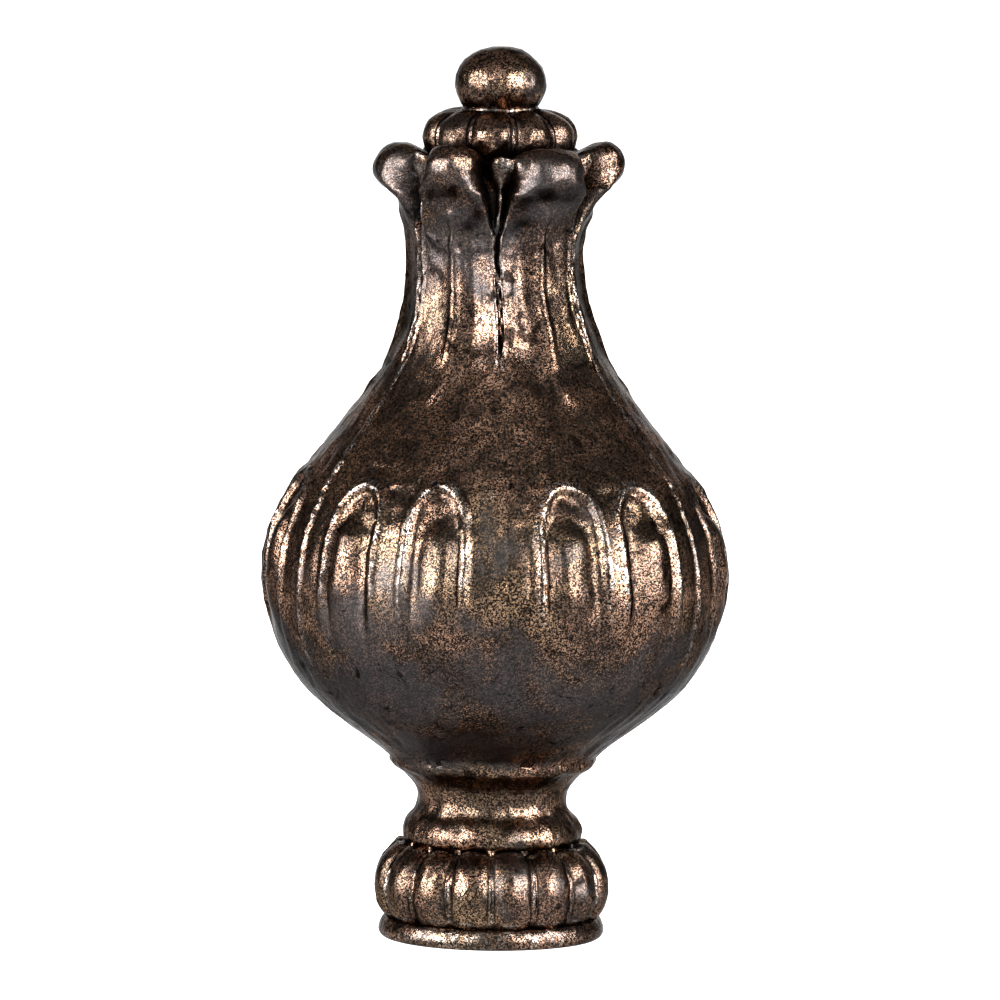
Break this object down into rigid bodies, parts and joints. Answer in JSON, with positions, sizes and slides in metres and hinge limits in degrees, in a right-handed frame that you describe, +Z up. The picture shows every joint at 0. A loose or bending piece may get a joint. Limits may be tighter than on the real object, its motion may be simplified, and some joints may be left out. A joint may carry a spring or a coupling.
{
  "type": "lamp finial",
  "caption": "Cast metal lamp finial with a gadrooned foot, a leaf-wrapped onion-shaped body, a crown of rolled leaf tips and a ball top; it screws onto a threaded stud.",
  "frame": {"origin": "centre of the foot's underside, on the axis of the screw hole", "axes": "+Z up along the axis, -Y is the side that faces the viewer"},
  "size_m": [0.0336, 0.0332, 0.0635],
  "materials": {
    "bronze": "dark antique bronze patina, mottled, half gloss, rubbed bright on raised edges"
  },
  "bodies": {
    "root": {"finial": "bronze"}
  },
  "joints": []
}
